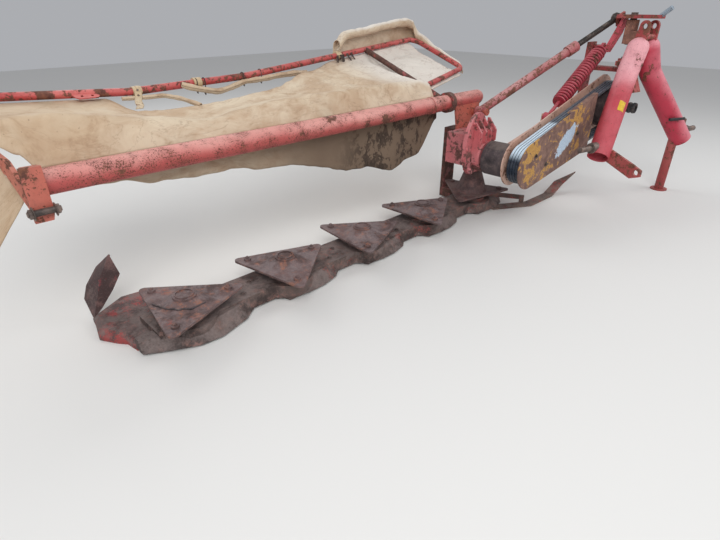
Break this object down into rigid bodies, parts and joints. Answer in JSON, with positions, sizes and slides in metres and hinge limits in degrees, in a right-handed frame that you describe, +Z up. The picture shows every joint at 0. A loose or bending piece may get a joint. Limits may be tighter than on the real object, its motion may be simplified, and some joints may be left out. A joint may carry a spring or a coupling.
{
  "type": "disc mower",
  "caption": "Tractor-mounted disc mower parked on its cutterbar: rotors in a row, canvas cover on a tube frame, belt arm, balance spring and A-shaped headstock.",
  "frame": {"origin": "on the ground, at the middle of the part's plan box", "axes": "+Z up; +X along the cutterbar from its outer shoe to the headstock; -Y is the travel direction, where the tractor stands"},
  "size_m": [3.2363, 1.4736, 0.9516],
  "materials": {
    "leg_red": "worn red paint, faded pink at the bends",
    "frame_red": "red paint with rust",
    "stand_red": "red paint",
    "steel": "dull steel with rust film",
    "rust": "rusty iron with dried mud",
    "shoe_red": "worn red paint over rust",
    "guard_rust": "rusty brown sheet with peeling yellow paint",
    "peach_paint": "faded peach paint",
    "drum_black": "dark rusty black",
    "belt_rubber": "shiny black rubber",
    "gear_red": "red casting with dirt",
    "tube_red": "sun-faded red with rust speckles",
    "cover_red": "red paint flaking to rust",
    "clamp_cream": "cream clamp",
    "canvas": "stained cream canvas",
    "disc_rust": "rusty steel with orange patches",
    "hat_rust": "reddish brown grime",
    "strut_pink": "faded red tube",
    "strut_dark": "dark rod",
    "spring_red": "dark red spring",
    "grip_grey": "grey-blue grip"
  },
  "bodies": {
    "headstock": {"near_leg": "leg_red", "far_leg": "leg_red", "stand_sleeve": "stand_red", "hitch_pins": "steel", "drawbar_plate": "leg_red", "top_clevis": "leg_red", "pivot_block": "rust", "lower_bracket": "leg_red", "gusset": "leg_red"},
    "stand": {"parking_stand": "stand_red"},
    "swing_frame": {"swing_plate": "frame_red", "swing_pins": "steel", "spring_arm": "frame_red", "swing_post": "frame_red", "latch_handle": "grip_grey"},
    "belt_arm": {"input_drum": "drum_black", "arm_beam": "peach_paint", "guard_rear": "peach_paint", "guard_front": "guard_rust", "belts": "belt_rubber"},
    "pto": {"pto_shaft": "steel", "drive_pulley": "drum_black"},
    "driven_pulley": {"driven_pulley": "drum_black"},
    "bar": {"cutterbar": "rust", "skid_shoes": "rust", "outer_skid": "shoe_red", "divider": "shoe_red", "inner_runner": "shoe_red", "runner_stay": "rust", "gearbox": "gear_red", "swivel_flange": "gear_red", "gear_column": "rust", "main_tube": "tube_red", "tube_bracket": "gear_red", "strut_lug": "steel", "hanging_canvas": "canvas"},
    "disc_1": {"disc_1": "disc_rust"},
    "disc_2": {"disc_2": "disc_rust"},
    "disc_3": {"disc_3": "disc_rust"},
    "disc_4": {"disc_4": "disc_rust"},
    "disc_5": {"disc_5": "hat_rust"},
    "cover_frame": {"cover_tube": "cover_red", "hinge_arm": "cover_red", "outer_arm": "tube_red", "outer_bracket": "tube_red", "cover_clamps": "clamp_cream", "cover_canvas": "canvas"},
    "strut_barrel": {"strut_barrel": "strut_pink"},
    "strut_rod": {"strut_rod": "strut_dark", "strut_pin": "steel"},
    "spring": {"spring_coil": "spring_red", "spring_hook": "spring_red"},
    "spring_rod": {"spring_rod": "spring_red"}
  },
  "joints": [
    {"name": "stand_slide", "type": "slide", "parent": "headstock", "child": "stand", "axis": [0, 0, 1], "range_m": [0, 0.25]},
    {"name": "breakaway", "type": "hinge", "parent": "headstock", "child": "swing_frame", "pos_m": [1.19719, -0.38394, 0.7], "axis": [0, 0, -1], "range_deg": [0, 45]},
    {"name": "arm_lift", "type": "hinge", "parent": "swing_frame", "child": "belt_arm", "pos_m": [1.195, -0.348, 0.473], "axis": [0, 1, 0], "range_deg": [0, 25]},
    {"name": "bar_tilt", "type": "hinge", "parent": "belt_arm", "child": "bar", "pos_m": [0.347, -0.158, 0.31], "axis": [0, 1, 0], "range_deg": [0, 60]},
    {"name": "cover_fold", "type": "hinge", "parent": "bar", "child": "cover_frame", "pos_m": [-0.583, 0.077, 0.535], "axis": [-1, 0, 0], "range_deg": [-110, 0], "deforming": ["cover_canvas"]},
    {"name": "strut_turn", "type": "hinge", "parent": "bar", "child": "strut_barrel", "pos_m": [0.507, 0.007, 0.48], "axis": [0, 1, 0], "range_deg": [-82.95, 0]},
    {"name": "strut_slide", "type": "slide", "parent": "strut_barrel", "child": "strut_rod", "axis": [0.8113, -0.3446, 0.4724], "range_m": [-0.0564, 0]},
    {"name": "spring_turn", "type": "hinge", "parent": "swing_frame", "child": "spring", "pos_m": [1.222, -0.253, 0.757], "axis": [0, 1, 0], "range_deg": [0, 19.77]},
    {"name": "spring_slide", "type": "slide", "parent": "spring", "child": "spring_rod", "axis": [-0.8648, 0, -0.5021], "range_m": [-0.1132, 0], "deforming": ["spring_coil"]},
    {"name": "pto_turn", "type": "hinge", "parent": "swing_frame", "child": "pto", "pos_m": [1.195, -0.348, 0.473], "axis": [0, 1, 0], "continuous": true},
    {"name": "driven_turn", "type": "hinge", "parent": "belt_arm", "child": "driven_pulley", "pos_m": [0.347, -0.348, 0.31], "axis": [0, 1, 0], "continuous": true},
    {"name": "rotor_1", "type": "hinge", "parent": "bar", "child": "disc_1", "pos_m": [-1.183, -0.048, 0.096], "axis": [0, 0, 1], "continuous": true},
    {"name": "rotor_2", "type": "hinge", "parent": "bar", "child": "disc_2", "pos_m": [-0.783, -0.048, 0.096], "axis": [0, 0, 1], "continuous": true},
    {"name": "rotor_3", "type": "hinge", "parent": "bar", "child": "disc_3", "pos_m": [-0.383, -0.048, 0.096], "axis": [0, 0, 1], "continuous": true},
    {"name": "rotor_4", "type": "hinge", "parent": "bar", "child": "disc_4", "pos_m": [0.017, -0.048, 0.096], "axis": [0, 0, 1], "continuous": true},
    {"name": "rotor_5", "type": "hinge", "parent": "bar", "child": "disc_5", "pos_m": [0.417, -0.048, 0.096], "axis": [0, 0, 1], "continuous": true}
  ],
  "couplings": [
    {"joint": "bar_tilt", "follows": "arm_lift", "ratio": 2.4},
    {"joint": "strut_turn", "follows": "arm_lift", "ratio": -3.298},
    {"joint": "strut_slide", "follows": "arm_lift", "m_per_rad": -0.12473},
    {"joint": "spring_turn", "follows": "arm_lift", "ratio": 0.7706},
    {"joint": "spring_slide", "follows": "arm_lift", "m_per_rad": -0.25484},
    {"joint": "driven_turn", "follows": "pto_turn", "ratio": 1.4737},
    {"joint": "rotor_2", "follows": "rotor_1", "ratio": -1},
    {"joint": "rotor_3", "follows": "rotor_1", "ratio": 1},
    {"joint": "rotor_4", "follows": "rotor_1", "ratio": -1},
    {"joint": "rotor_5", "follows": "rotor_1", "ratio": 1}
  ]
}
